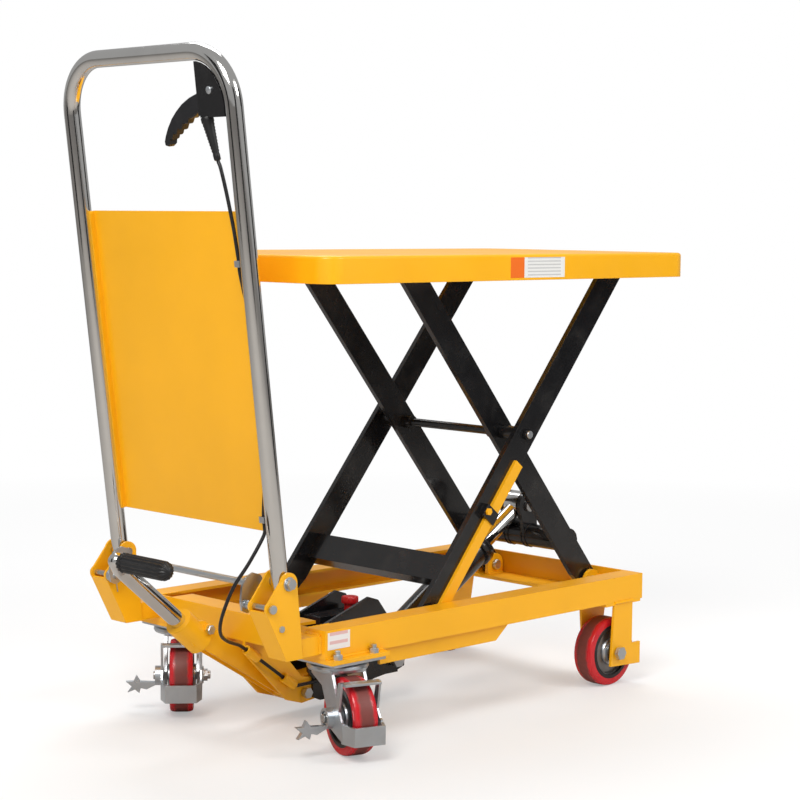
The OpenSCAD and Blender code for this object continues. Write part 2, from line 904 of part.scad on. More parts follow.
side_rail_left();
side_rail_right();
rear_beam();
front_beam();
pivot_lugs();
skirt_plates();
caster_mounts();
caster_top_plates();
wheel_brackets();
handle_brackets();
pedal_bracket();
pump_cradle();
base_pins();
base_bolts();
cable_lower();
inner_arm_left();
inner_arm_right();
torque_tube();
clevis_lugs();
centre_rod();
inner_pins();
outer_arm_left();
outer_arm_right();
cross_tube();
outer_pins();
safety_bar();
deck_pan();
deck_underframe();
deck_pins();
roller_lower_left();
roller_lower_right();
roller_upper_left();
roller_upper_right();
pump_body();
release_knob();
release_arm();
pump_plunger();
piston_rod();
pedal_lever();
pedal_tube();
pedal_grip();
handle_tube();
handle_panel();
trigger_bracket();
cable_clips();
cable_upper();
trigger_lever();
latch();
caster_fork_left();
caster_fork_right();
caster_brake_left();
caster_brake_right();
rear_tyre_left();
rear_tyre_right();
rear_hub_left();
rear_hub_right();
front_tyre_left();
front_tyre_right();
front_hub_left();
front_hub_right();
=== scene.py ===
"""Mobile scissor lift table: materials, fine detail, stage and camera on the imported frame.

Lengths are in metres, or in mm where a comment says so or MM follows.
+X is the front, +Y the left side, +Z up.
"""
import json
import math
import random

import bmesh
import bpy
from mathutils import Matrix, Vector


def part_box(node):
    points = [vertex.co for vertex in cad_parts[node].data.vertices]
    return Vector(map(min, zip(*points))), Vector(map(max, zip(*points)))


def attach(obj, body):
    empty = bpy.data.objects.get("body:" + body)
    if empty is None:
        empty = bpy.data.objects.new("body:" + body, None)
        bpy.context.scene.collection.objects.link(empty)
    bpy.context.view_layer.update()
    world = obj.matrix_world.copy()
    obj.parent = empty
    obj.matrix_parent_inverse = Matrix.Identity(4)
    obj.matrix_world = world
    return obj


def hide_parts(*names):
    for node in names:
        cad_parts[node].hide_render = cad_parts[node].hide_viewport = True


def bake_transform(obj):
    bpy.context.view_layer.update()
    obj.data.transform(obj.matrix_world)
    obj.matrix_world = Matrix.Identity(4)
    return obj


MM = 0.001
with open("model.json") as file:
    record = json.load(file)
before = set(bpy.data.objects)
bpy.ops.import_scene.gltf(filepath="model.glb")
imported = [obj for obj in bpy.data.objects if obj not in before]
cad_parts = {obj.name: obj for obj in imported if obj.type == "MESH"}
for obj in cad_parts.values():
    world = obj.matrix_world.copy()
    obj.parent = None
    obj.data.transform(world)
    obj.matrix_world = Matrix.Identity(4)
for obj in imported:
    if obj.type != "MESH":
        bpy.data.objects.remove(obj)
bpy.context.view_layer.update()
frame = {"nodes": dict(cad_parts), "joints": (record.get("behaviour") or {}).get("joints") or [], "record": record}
nodes = frame["nodes"]
joints = {j["name"]: j for j in frame["joints"]}
node_slot = {s["node"]: s["material_slot"] for s in frame["record"]["subparts"]}


# ---- node helpers ----

class Shader:
    """A small wrapper that builds one Principled material."""

    def __init__(self, name):
        self.material = bpy.data.materials.new(name)
        self.material.use_nodes = True
        self.tree = self.material.node_tree
        self.bsdf = self.tree.nodes["Principled BSDF"]
        self.coords = self.node("ShaderNodeTexCoord").outputs["Object"]

    def node(self, kind, **values):
        n = self.tree.nodes.new(kind)
        for key, value in values.items():
            setattr(n, key, value)
        return n

    def put(self, socket, value):
        if isinstance(value, bpy.types.NodeSocket):
            self.tree.links.new(value, socket)
        else:
            socket.default_value = value

    def set(self, **values):
        for key, value in values.items():
            self.put(self.bsdf.inputs[key.replace("_", " ")], value)
        return self

    def noise(self, scale, detail=3.0, stretch=(1, 1, 1), distortion=0.0):
        mapping = self.node("ShaderNodeMapping")
        self.put(mapping.inputs["Vector"], self.coords)
        self.put(mapping.inputs["Scale"], stretch)
        n = self.node("ShaderNodeTexNoise")
        self.put(n.inputs["Vector"], mapping.outputs["Vector"])
        self.put(n.inputs["Scale"], scale)
        self.put(n.inputs["Detail"], detail)
        self.put(n.inputs["Distortion"], distortion)
        return n.outputs["Fac"]

    def remap(self, value, a, b, lo, hi):
        n = self.node("ShaderNodeMapRange")
        for socket, v in zip(n.inputs, (value, a, b, lo, hi)):
            self.put(socket, v)
        return n.outputs["Result"]

    def mix(self, factor, a, b):
        n = self.node("ShaderNodeMix", data_type="RGBA")
        self.put(n.inputs[0], factor)
        self.put(n.inputs[6], a)
        self.put(n.inputs[7], b)
        return n.outputs[2]

    def math(self, op, a, b=0.0):
        n = self.node("ShaderNodeMath", operation=op)
        self.put(n.inputs[0], a)
        self.put(n.inputs[1], b)
        return n.outputs[0]

    def axis(self, letter):
        n = self.node("ShaderNodeSeparateXYZ")
        self.put(n.inputs[0], self.coords)
        return n.outputs[letter]

    def soft_edge(self, radius):
        n = self.node("ShaderNodeBevel", samples=4)
        self.put(n.inputs["Radius"], radius)
        return n.outputs["Normal"]

    def edge_mask(self, radius):
        """1 close to a sharp edge, 0 on a flat face."""
        flat = self.node("ShaderNodeNewGeometry").outputs["Normal"]
        n = self.node("ShaderNodeVectorMath", operation="DOT_PRODUCT")
        self.put(n.inputs[0], self.soft_edge(radius))
        self.put(n.inputs[1], flat)
        return self.remap(n.outputs["Value"], 0.99, 0.8, 0.0, 1.0)

    def bump(self, height, strength, distance, normal=None):
        n = self.node("ShaderNodeBump")
        self.put(n.inputs["Height"], height)
        self.put(n.inputs["Strength"], strength)
        self.put(n.inputs["Distance"], distance)
        if normal is not None:
            self.put(n.inputs["Normal"], normal)
        return n.outputs["Normal"]


def rgb(r, g, b):
    return (r, g, b, 1.0)


def shade(color, k):
    return rgb(*(min(1.0, c * k) for c in color[:3]))


def painted(name, color, rough, coat, worn, shine, dust=0.0, edge_radius=0.9 * MM):
    """Powder coat: orange peel, faint mottling, thin paint on the edges."""
    s = Shader(name)
    tone = s.remap(s.noise(5.0, 4.0), 0.3, 0.7, 0.0, 1.0)
    base = s.mix(tone, shade(color, 0.94), shade(color, 1.05))
    if dust:
        specks = s.remap(s.noise(26.0, 8.0, distortion=0.6), 0.52, 0.78, 0.0, dust)
        base = s.mix(specks, base, rgb(0.32, 0.30, 0.27))
    base = s.mix(s.math("MULTIPLY", s.edge_mask(edge_radius), 0.45), base, shade(color, worn))
    peel = s.bump(s.noise(620.0, 2.0), 0.12, 0.25 * MM, s.soft_edge(edge_radius))
    return s.set(
        Base_Color=base,
        Roughness=s.remap(s.noise(34.0, 5.0), 0.3, 0.7, rough - 0.05, rough + 0.08),
        Normal=peel, Coat_Weight=coat, Coat_Roughness=0.10, IOR=1.5, Specular_IOR_Level=shine,
    ).material


def metal(name, color, rough, stretch=(1, 1, 1), grain=260.0, stain=0.2,
          edge_radius=0.5 * MM, depth=0.05):
    """Bare or plated metal: fine directional grain, uneven sheen and faint stains."""
    s = Shader(name)
    blotch = s.remap(s.noise(18.0, 6.0, distortion=0.8), 0.35, 0.75, 0.0, stain)
    base = s.mix(blotch, color, shade(color, 0.55))
    return s.set(
        Base_Color=base, Metallic=1.0,
        Roughness=s.remap(s.noise(60.0, 6.0, stretch), 0.3, 0.7, rough * 0.75, rough * 1.35),
        Normal=s.bump(s.noise(grain, 3.0, stretch), depth * 2.0, 0.12 * MM, s.soft_edge(edge_radius)),
    ).material


def polymer(name, color, rough, grain=420.0, depth=0.25, scuff=0.1):
    """Rubber or moulded plastic: fine texture with a little scuffing."""
    s = Shader(name)
    scuffs = s.remap(s.noise(30.0, 7.0, distortion=0.5), 0.5, 0.8, 0.0, scuff)
    base = s.mix(scuffs, color, rgb(0.30, 0.29, 0.28))
    return s.set(
        Base_Color=base,
        Roughness=s.remap(s.noise(80.0, 4.0), 0.3, 0.7, rough - 0.07, rough + 0.1),
        Normal=s.bump(s.noise(grain, 2.0), depth, 0.2 * MM, s.soft_edge(0.6 * MM)),
    ).material


def polyurethane(name):
    """Cast red tyre with a worn brown band round the tread; local Z is the axle."""
    s = Shader(name)
    across = s.math("ABSOLUTE", s.axis("Z"))
    ragged = s.math("ADD", across, s.remap(s.noise(120.0, 5.0), 0.0, 1.0, -3.0 * MM, 3.0 * MM))
    x, y = s.axis("X"), s.axis("Y")
    radius = s.math("SQRT", s.math("ADD", s.math("MULTIPLY", x, x), s.math("MULTIPLY", y, y)))
    on_tread = s.remap(radius, 48.6 * MM, 49.6 * MM, 0.0, 1.0)
    band = s.math("MULTIPLY", s.remap(ragged, 7.0 * MM, 11.0 * MM, 0.85, 0.0), on_tread)
    red = s.mix(s.noise(24.0, 3.0), rgb(0.50, 0.010, 0.018), rgb(0.62, 0.022, 0.030))
    return s.set(
        Base_Color=s.mix(band, red, rgb(0.115, 0.045, 0.035)),
        Roughness=s.remap(band, 0.0, 1.0, 0.2, 0.55),
        Subsurface_Weight=0.08, Subsurface_Radius=(0.004, 0.001, 0.001),
        Normal=s.bump(s.noise(300.0, 5.0), s.remap(band, 0.0, 1.0, 0.02, 0.3), 0.3 * MM),
    ).material


def label(name, ground, ink, rows, lo, hi):
    """Printed film in the XZ plane with plain bars and no writing."""
    s = Shader(name)
    u = s.remap(s.axis("X"), lo[0], hi[0], 0.0, 1.0)
    v = s.remap(s.axis("Z"), lo[1], hi[1], 0.0, 1.0)
    stripe = s.math("GREATER_THAN", s.math("FRACT", s.math("MULTIPLY", v, rows)), 0.62)
    inside = s.math("MULTIPLY", s.math("GREATER_THAN", u, 0.08), s.math("LESS_THAN", u, 0.9))
    fade = s.math("MULTIPLY", s.math("MULTIPLY", stripe, inside), 0.45 if rows else 0.0)
    return s.set(
        Base_Color=s.mix(fade, ground, ink), Roughness=0.32, Coat_Weight=0.4,
        Normal=s.bump(s.noise(200.0), 0.05, 0.1 * MM),
    ).material


MATERIALS = {
    "amber_paint": painted("amber_paint", rgb(0.90, 0.43, 0.006), 0.36, coat=0.12, worn=1.08, shine=0.35),
    "black_paint": painted("black_paint", rgb(0.008, 0.008, 0.009), 0.22, coat=0.35, worn=3.0,
                           shine=0.4, dust=0.05),
    "zinc_plate": metal("zinc_plate", rgb(0.66, 0.70, 0.74), 0.36, grain=380.0, stain=0.35),
    "steel_pin": metal("steel_pin", rgb(0.60, 0.60, 0.59), 0.30, (1, 8, 1)),
    "chrome": metal("chrome", rgb(0.78, 0.77, 0.75), 0.10, (1, 1, 0.2), grain=140.0, stain=0.15,
                    edge_radius=0.3 * MM, depth=0.01),
    "red_plastic": polymer("red_plastic", rgb(0.55, 0.012, 0.015), 0.3, scuff=0.04),
    "black_rubber": polymer("black_rubber", rgb(0.010, 0.010, 0.011), 0.42, depth=0.4, scuff=0.05),
    "black_plastic": polymer("black_plastic", rgb(0.010, 0.010, 0.012), 0.34, scuff=0.06),
    "red_polyurethane": polyurethane("red_polyurethane"),
    "hub_alloy": metal("hub_alloy", rgb(0.32, 0.32, 0.33), 0.42, grain=300.0, stain=0.45),
}

for node_name, obj in nodes.items():
    obj.data.materials.clear()
    obj.data.materials.append(MATERIALS[node_slot[node_name]])


# ---- mesh helpers ----

def add_piece(name, verts, faces, slot, body, smooth=True, place=None):
    """A new mesh piece that rides on a body and takes its finish from a slot."""
    mesh = bpy.data.meshes.new(name)
    mesh.from_pydata([tuple(v) for v in verts], [], faces)
    bm = bmesh.new()
    bm.from_mesh(mesh)
    bmesh.ops.recalc_face_normals(bm, faces=bm.faces)
    bm.to_mesh(mesh)
    bm.free()
    mesh.polygons.foreach_set("use_smooth", [smooth] * len(mesh.polygons))
    mesh.materials.append(MATERIALS[slot])
    if smooth:
        mesh.set_sharp_from_angle(angle=math.radians(38))
    obj = bpy.data.objects.new(name, mesh)
    bpy.context.scene.collection.objects.link(obj)
    if place is not None:
        obj.matrix_world = place
    if body:
        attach(obj, body)
    return obj


def frame_at(point, axis):
    """Matrix that takes local Z to axis and the origin to point."""
    m = Vector(axis).normalized().to_track_quat("Z", "Y").to_matrix().to_4x4()
    m.translation = Vector(point)
    return m


def lathe(name, profile, point, axis, slot, body, steps=56, flutes=0, flute_depth=0.0):
    """Solid of revolution about axis; profile is closed, in mm as (radius, height)."""
    verts, faces = [], []
    n = len(profile)
    for i in range(steps):
        a = 2 * math.pi * i / steps
        for r, h in profile:
            cut = flute_depth * (0.5 - 0.5 * math.cos(flutes * a)) if flutes and r > 8 else 0.0
            verts.append(((r - cut) * MM * math.cos(a), (r - cut) * MM * math.sin(a), h * MM))
    for i in range(steps):
        for k in range(n):
            a, b = i * n + k, i * n + (k + 1) % n
            j = (i + 1) % steps
            faces.append((a, b, j * n + (k + 1) % n, j * n + k))
    return add_piece(name, verts, faces, slot, body, place=frame_at(point, axis))


def catmull(points, per):
    """Smooth list of points through the given ones."""
    pts = [Vector(p) for p in points]
    out = []
    for i in range(len(pts) - 1):
        a, b = pts[max(i - 1, 0)], pts[i]
        c, d = pts[i + 1], pts[min(i + 2, len(pts) - 1)]
        for j in range(per):
            t = j / per
            out.append(0.5 * (2 * b + (c - a) * t + (2 * a - 5 * b + 4 * c - d) * t * t
                              + (3 * b - a - 3 * c + d) * t ** 3))
    return out + [pts[-1]]


def sweep(name, path, radius, slot, body, sides=14, wobble=0.0, seed=1):
    """Round tube along a path, with closed ends; wobble gives a weld its ripples."""
    rng = random.Random(seed)
    verts, faces = [], []
    up = None
    for i, p in enumerate(path):
        d = (path[min(i + 1, len(path) - 1)] - path[max(i - 1, 0)]).normalized()
        if up is None:
            up = d.orthogonal().normalized()
        up = (up - d * up.dot(d)).normalized()
        side = d.cross(up)
        r = radius * (1.0 + wobble * (math.sin(i * 2.1) + rng.uniform(-0.4, 0.4)))
        for k in range(sides):
            a = 2 * math.pi * k / sides
            verts.append(p + (up * math.cos(a) + side * math.sin(a)) * r)
    for i in range(len(path) - 1):
        for k in range(sides):
            m = (k + 1) % sides
            faces.append((i * sides + k, i * sides + m, (i + 1) * sides + m, (i + 1) * sides + k))
    faces.append(tuple(range(sides - 1, -1, -1)))
    last = (len(path) - 1) * sides
    faces.append(tuple(last + k for k in range(sides)))
    return add_piece(name, verts, faces, slot, body)


def weld(name, a, b, radius):
    """Amber bead on the base between two points, given in mm."""
    a, b = a * MM, b * MM
    steps = max(4, int((b - a).length / (2.2 * MM)))
    path = [a.lerp(b, i / steps) for i in range(steps + 1)]
    sweep(name, path, radius * MM, "amber_paint", "base", sides=8, wobble=0.16, seed=len(name))


def arc(center, radius, start, stop, steps):
    return [(center[0] + radius * math.cos(math.radians(start + (stop - start) * i / steps)),
             center[1] + radius * math.sin(math.radians(start + (stop - start) * i / steps)))
            for i in range(steps + 1)]


def rounded_outline(x0, x1, half, r, steps=10):
    """Counter-clockwise outline of a rectangle with rounded corners."""
    pts = []
    corners = ((x1 - r, half - r, 0), (x0 + r, half - r, 90), (x0 + r, -half + r, 180),
               (x1 - r, -half + r, 270))
    for cx, cy, a in corners:
        pts += arc((cx, cy), r, a, a + 90, steps)
    return pts


def stack(name, rings, slot, body):
    """Capped skin over rings that all have the same number of points, given in metres."""
    n = len(rings[0])
    verts = [p for ring in rings for p in ring]
    faces = [(i * n + k, i * n + (k + 1) % n, (i + 1) * n + (k + 1) % n, (i + 1) * n + k)
             for i in range(len(rings) - 1) for k in range(n)]
    faces.append(tuple(range(n)))
    faces.append(tuple((len(rings) - 1) * n + k for k in range(n)))
    return add_piece(name, verts, faces, slot, body)


def prism(name, outline, lo, hi, slot, body, bevel):
    """Bevelled plate: outline in mm in the XZ plane, thick from lo to hi along Y."""
    cx = sum(p[0] for p in outline) / len(outline)
    cy = sum(p[1] for p in outline) / len(outline)
    size = max(math.hypot(p[0] - cx, p[1] - cy) for p in outline)
    k = 1 - bevel / size

    def ring(h, shrink):
        pts = [(cx + (p[0] - cx) * shrink, cy + (p[1] - cy) * shrink) for p in outline]
        return [Vector((p[0], h, p[1])) * MM for p in pts]

    rings = [ring(lo, k), ring(lo + bevel, 1), ring(hi - bevel, 1), ring(hi, k)]
    return stack(name, rings, slot, body)


# ---- deck ----

def build_deck():
    """Folded sheet top with rounded corners and a rolled upper edge."""
    lo, hi = (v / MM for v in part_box("deck_pan"))
    half, r, sheet, fold = hi.y, 28.0, 3.0, 4.5
    rings = []

    def ring(inset, z):
        outline = rounded_outline(lo.x + inset, hi.x - inset, half - inset, max(r - inset, 2.0))
        rings.append([Vector((x, y, z)) * MM for x, y in outline])

    ring(24, hi.z - sheet)
    ring(sheet + 1, hi.z - sheet)
    ring(sheet, hi.z - sheet - 1)
    ring(sheet, lo.z + 0.4)
    ring(sheet - 0.4, lo.z)
    ring(0.4, lo.z)
    ring(0, lo.z + 0.4)
    for i in range(7):
        a = math.radians(15 * i)
        ring(fold * (1 - math.cos(a)), hi.z - fold * (1 - math.sin(a)))
    ring(24, hi.z)
    deck = stack("deck_sheet", rings, "amber_paint", "deck")
    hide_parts("deck_pan")


def build_labels():
    """Blank films on the deck's side and on the rail; places in mm."""
    deck_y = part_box("deck_pan")[0].y / MM
    rail_y = -186.0
    films = [
        ("label_orange", (70, 97), (598.5, 626), deck_y,
         rgb(0.85, 0.16, 0.012), rgb(0.05, 0.03, 0.02), 0, "deck"),
        ("label_white", (97.4, 180), (598.5, 626), deck_y,
         rgb(0.80, 0.80, 0.78), rgb(0.25, 0.25, 0.27), 6, "deck"),
        ("label_rail", (-246, -208), (136, 158), rail_y,
         rgb(0.80, 0.78, 0.77), rgb(0.65, 0.05, 0.04), 2, "base"),
    ]
    for name, xs, zs, y, ground, ink, rows, body in films:
        corner_lo, corner_hi = ((xs[k] * MM, zs[k] * MM) for k in (0, 1))
        mat = label(name, ground, ink, rows, corner_lo, corner_hi)
        MATERIALS[name] = mat
        outline = [(xs[0], zs[0]), (xs[1], zs[0]), (xs[1], zs[1]), (xs[0], zs[1])]
        film = prism(name, outline, y - 0.25, y + 0.05, "amber_paint", body, bevel=0.05)
        film.data.materials.clear()
        film.data.materials.append(mat)


# ---- wheels and casters ----

# Profiles in mm as (radius, height along the axle)
TYRE = [(37, -15.5), (45.5, -16), (48.2, -15), (49.4, -12.5), (50, -8), (50, 8), (49.4, 12.5),
        (48.2, 15), (45.5, 16), (37, 15.5)]
RIM_RING = [(34, 11), (38.8, 11), (39.4, 11.6), (39.4, 15.6), (38.8, 16.2), (34, 16.2)]
BEARING_COVER = [(7, 12), (19, 12), (19.6, 13), (18.6, 15), (15.4, 16), (15, 18.4), (12, 18.9),
                 (7, 18.9)]
HUB_WEB = [(17, 8), (33.6, 8), (33.6, 9.6), (30, 11.4), (21, 11), (17, 12.6)]
BALL_RACE = [(20, -4.6), (34, -4.6), (38.5, -3), (40, 0), (39.2, 3.2), (36, 5.3), (20, 5.4)]
RACE_LIP = [(18, -8.2), (25, -8.2), (27.5, -6.6), (28, -4.4), (18, -4.4)]
KINGPIN_NUT = [(0.2, -13), (7, -13), (8.6, -12), (8.6, -7), (0.2, -7)]
AXLE_WASHER = [(6.2, 28.2), (11.5, 28.2), (12, 28.7), (11.5, 29.6), (6.2, 29.6)]
AXLE_END = [(0.2, 33), (5.6, 33), (5.6, 38.4), (5.0, 39), (0.2, 39)]
RACE_HEIGHT = 0.1075


def build_wheels():
    for side in ("left", "right"):
        for end in ("rear", "front"):
            j = joints[f"{end}_wheel_{side}_spin"]
            body = j["child"]
            tyre = lathe(f"{end}_tread_{side}", TYRE, j["pos_m"], j["axis"], "red_polyurethane", body, 72)
            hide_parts(f"{end}_tyre_{side}")
            for s in (-1, 1):
                tag = f"{end}_{side}_{'a' if s > 0 else 'b'}"
                axis = [c * s for c in j["axis"]]
                lathe(f"rim_ring_{tag}", RIM_RING, j["pos_m"], axis, "black_plastic", body, 72)
                lathe(f"bearing_cover_{tag}", BEARING_COVER, j["pos_m"], axis, "zinc_plate", body)
                lathe(f"hub_web_{tag}", HUB_WEB, j["pos_m"], axis, "hub_alloy", body)


def caster_frame(side):
    """Matrix of a caster whose local +X is the trail, from its swivel and axle joints."""
    swivel = Vector(joints[f"caster_{side}_swivel"]["pos_m"])
    axle = Vector(joints[f"rear_wheel_{side}_spin"]["pos_m"])
    trail = math.atan2(axle.y - swivel.y, axle.x - swivel.x)
    return Matrix.Translation((swivel.x, swivel.y, 0.0)) @ Matrix.Rotation(trail, 4, "Z")


def build_casters():
    for side in ("left", "right"):
        m = caster_frame(side)
        fork = f"caster_{side}"
        z = m.to_3x3() @ Vector((0, 0, 1))
        race = m @ Vector((0, 0, RACE_HEIGHT))
        lathe(f"ball_race_{side}", BALL_RACE, race, z, "zinc_plate", fork, 72)
        lathe(f"race_lip_{side}", RACE_LIP, race, z, "zinc_plate", fork)
        lathe(f"kingpin_nut_{side}", KINGPIN_NUT, race, z, "steel_pin", fork, 6)
        for s in (-1, 1):
            tag = f"{side}_{'a' if s > 0 else 'b'}"
            out = m.to_3x3() @ Vector((0, s, 0))
            axle = Vector(joints[f"rear_wheel_{side}_spin"]["pos_m"])
            lathe(f"axle_washer_{tag}", AXLE_WASHER, axle, out, "zinc_plate", fork)
            lathe(f"axle_end_{tag}", AXLE_END, axle, out, "steel_pin", fork, 32)


# ---- handle, trigger and cable ----

# Release cable's route in mm: from inside the boot to the lower clip, and on to the valve arm
CABLE_TOP = [(-376.2, -124.7, 752), (-375, -127, 742.6), (-374, -130.5, 734), (-370, -137, 703),
             (-365, -143.5, 663), (-361, -147, 630), (-359.7, -147.5, 620), (-358.4, -147.5, 610),
             (-352, -147, 588), (-344.7, -147, 560), (-337, -147, 500), (-329.3, -147, 440),
             (-322.6, -147, 388), (-318.8, -147.3, 345), (-319.5, -147.5, 313), (-319.2, -147.5, 305)]
CABLE_LOW = [(-318.57, -147.5, 299.8), (-318, -147.5, 295), (-319, -147, 284), (-336, -140, 252),
             (-351, -127, 220), (-350, -104, 180), (-332, -80, 153), (-302, -58, 136),
             (-270, -42, 124), (-254, -37.6, 114.8), (-234, -37.6, 100.8), (-210, -37.6, 83.5),
             (-190, -37.6, 68.8), (-170, -37.6, 54.8), (-150, -37.6, 53.5), (-110, -37.6, 55),
             (-84, -37.6, 61), (-74, -37.6, 62), (-66.3, -37.6, 62)]
CABLE_RADIUS = 2.3 * MM


def build_cable():
    path = catmull([Vector(p) * MM for p in CABLE_TOP + CABLE_LOW], 5)
    cable = sweep("release_cable", path, CABLE_RADIUS, "black_plastic", None, sides=16)
    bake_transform(cable)
    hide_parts("cable_upper", "cable_lower")


def handle_frame():
    """Frame of the handle: local Z runs up its legs, local X forward."""
    pivot = Vector(joints["handle_fold"]["pos_m"])
    axis = Vector(joints["trigger_squeeze"]["axis"])
    lean = math.atan2(axis.z, axis.x)
    return Matrix.Translation(pivot) @ Matrix.Rotation(-lean, 4, "Y")


def build_trigger():
    """Curved lever with finger grooves on its inner edge; outline in the handle's frame."""
    m = handle_frame()
    back = [(-134, 612), (-128, 614.5), (-118, 614), (-108, 609), (-97, 603), (-82, 598.5),
            (-67, 591.5), (-55, 583), (-45, 573.5), (-36, 562), (-30, 552), (-27, 545), (-28, 541)]
    front = [(-33, 540), (-37, 542.5), (-38, 547.5), (-43, 549), (-45.5, 554.5), (-51.5, 554),
             (-55, 560.5), (-62, 560), (-66, 566.5), (-74, 567), (-78, 573), (-86, 573.5),
             (-94, 578), (-104, 582), (-116, 591), (-130, 598), (-135, 604)]
    middle_y, middle_z = -80.0, 583.0
    rounded = ((-3.4, 1.6), (-2.6, 0.6), (-1.2, 0.0), (5.8, 0.0), (7.2, 0.6), (8.0, 1.6))
    rings = []
    for depth, inset in rounded:
        ring = []
        for y, z in back + front:
            away = Vector((y - middle_y, (z - middle_z) * 2.0)).normalized() * inset
            ring.append(m @ (Vector((depth, y - away.x, z - away.y)) * MM))
        rings.append(ring)
    lever = stack("trigger_grip", rings, "black_plastic", "trigger")
    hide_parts("trigger_lever")
    out = m.to_3x3() @ Vector((-1, 0, 0))
    pivot = Vector(joints["trigger_squeeze"]["pos_m"])
    rivet = [(0.2, 6), (4.8, 6), (4.8, 8.6), (3.8, 9.6), (0.2, 10.2)]
    lathe("trigger_rivet", rivet, pivot, out, "zinc_plate", "handle", 32)


def build_boot():
    """Tapered bellows where the cable leaves the trigger's bracket."""
    m = handle_frame()
    top = m @ (Vector((-3, -113.5, 574)) * MM)
    end = m @ (Vector((-3, -126.3, 522)) * MM)
    profile = [(0.2, 0), (7.6, 0), (7.9, 1.2), (7.9, 6), (7.0, 7.5)]
    for i in range(9):
        h = 10 + 4 * i
        profile += [(7.3 - 0.32 * i, h), (6.5 - 0.32 * i, h + 1.8)]
    profile += [(4.4, 47), (4.2, 52.5), (3.6, 53.5), (0.2, 53.5)]
    lathe("cable_sleeve", profile, top, end - top, "black_rubber", "handle", 40)


def build_grip():
    """Fluted rubber pedal grip with a domed end and a rolled collar."""
    lo, hi = (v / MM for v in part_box("pedal_grip"))
    x, z, r = (lo.x + hi.x) / 2, (lo.z + hi.z) / 2, (hi.z - lo.z) / 2
    dome = [(0.2, 0.0)]
    for a in (20, 40, 60, 80):
        dome.append((r * math.sin(math.radians(a)), r - r * math.cos(math.radians(a))))
    length = hi.y - lo.y
    profile = dome + [(r, 16), (r, length - 9), (r - 1.4, length - 8), (r - 1.4, length - 5),
                      (r + 0.2, length - 4), (r + 0.2, length), (8.2, length)]
    end = Vector((x, lo.y, z)) * MM
    grip = lathe("pedal_rubber", profile, end, (0, 1, 0), "black_rubber", "pedal", 96,
                 flutes=16, flute_depth=1.3)
    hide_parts("pedal_grip")


# ---- welds, fasteners and hydraulics detail ----

def build_welds():
    """Beads along the joints of the base, mirrored to both sides; ends in mm."""
    for s in (-1, 1):
        side = "left" if s > 0 else "right"
        beads = [
            (f"rear_{side}_125", (-248.5, 152, 125.5), (-213, 152, 125.5), 1.6),
            (f"rear_{side}_160", (-248.5, 152, 160.2), (-213, 152, 160.2), 1.6),
            (f"front_{side}", (377.6, 182, 128), (377.6, 182, 157), 2.6),
            (f"wheel_bracket_{side}", (319, 186.2, 123.6), (360, 186.2, 123.6), 2.2),
            (f"wheel_plate_{side}", (303, 136.4, 119.6), (360, 136.4, 119.6), 2.6),
            (f"stub_top_{side}", (-250.4, 149.5, 154), (-250.4, 176.5, 154), 2.6),
            (f"stub_side_{side}", (-250.4, 177, 131), (-250.4, 177, 153), 2.6),
            (f"caster_plate_{side}", (-247, 186.3, 124.6), (-151, 186.3, 124.6), 1.8),
        ]
        for y in (84, 90, 106, 112):
            beads.append((f"lug_{side}_{y}", (341, y, 128.4), (373, y, 128.4), 1.9))
        for name, a, b, radius in beads:
            mirror = Vector((1, s, 1))
            weld(f"weld_{name}", Vector(a) * mirror, Vector(b) * mirror, radius)


def ring_weld(name, center, axis, radius, body, thick=2.2):
    """Black bead round a tube; thick is its radius in mm."""
    m = frame_at(center, axis)
    steps = 44
    path = []
    for i in range(steps + 1):
        a = 2 * math.pi * i / steps
        path.append(m @ Vector((radius * math.cos(a), radius * math.sin(a), 0)))
    sweep(name, path, thick * MM, "black_paint", body, sides=8, wobble=0.14, seed=len(name))


PIVOT_END = [(0.2, 4.8), (5.6, 4.8), (5.6, 7.4), (5.0, 8.2), (0.2, 8.2)]
PIN_HEAD = [(0.2, 0), (7.6, 0), (8, 0.6), (7.7, 2.6), (6.8, 3.4), (0.2, 3.4)]
GLAND_RING = [(13, -15), (25.4, -15), (26, -14), (26, -3), (24.6, -1.2), (19, -0.2), (18.4, 0.8),
              (13, 0.8)]
WIPER_SEAL = [(12.9, 1.0), (13.7, 1.0), (13.7, 2.4), (12.9, 2.8)]
KNOB = [(0.2, 0), (8, 0), (8, 9), (11.6, 9.6), (12.2, 11), (12.2, 17), (11, 18.7), (7, 19.4),
        (0.2, 19.6)]
PORT_PLUG = [(0.2, 0), (6, 0), (6, 2.6), (5.2, 3.4), (0.2, 3.4)]
SOCKET_BOLT = [(0.2, 0), (6.4, 0), (6.4, 4.6), (5.6, 5.4), (0.2, 5.4)]
BRACKET_WASHER = [(4.4, 0), (8.6, 0), (9, 0.5), (8.6, 1.6), (4.4, 1.6)]
LATCH_SLEEVE = [(4.1, 0.2), (5.6, 0.2), (6.0, 0.7), (6.0, 8.7), (5.6, 9.2), (4.1, 9.2)]
GLAND_S = 0.250
BARREL_WELD_S = 0.038


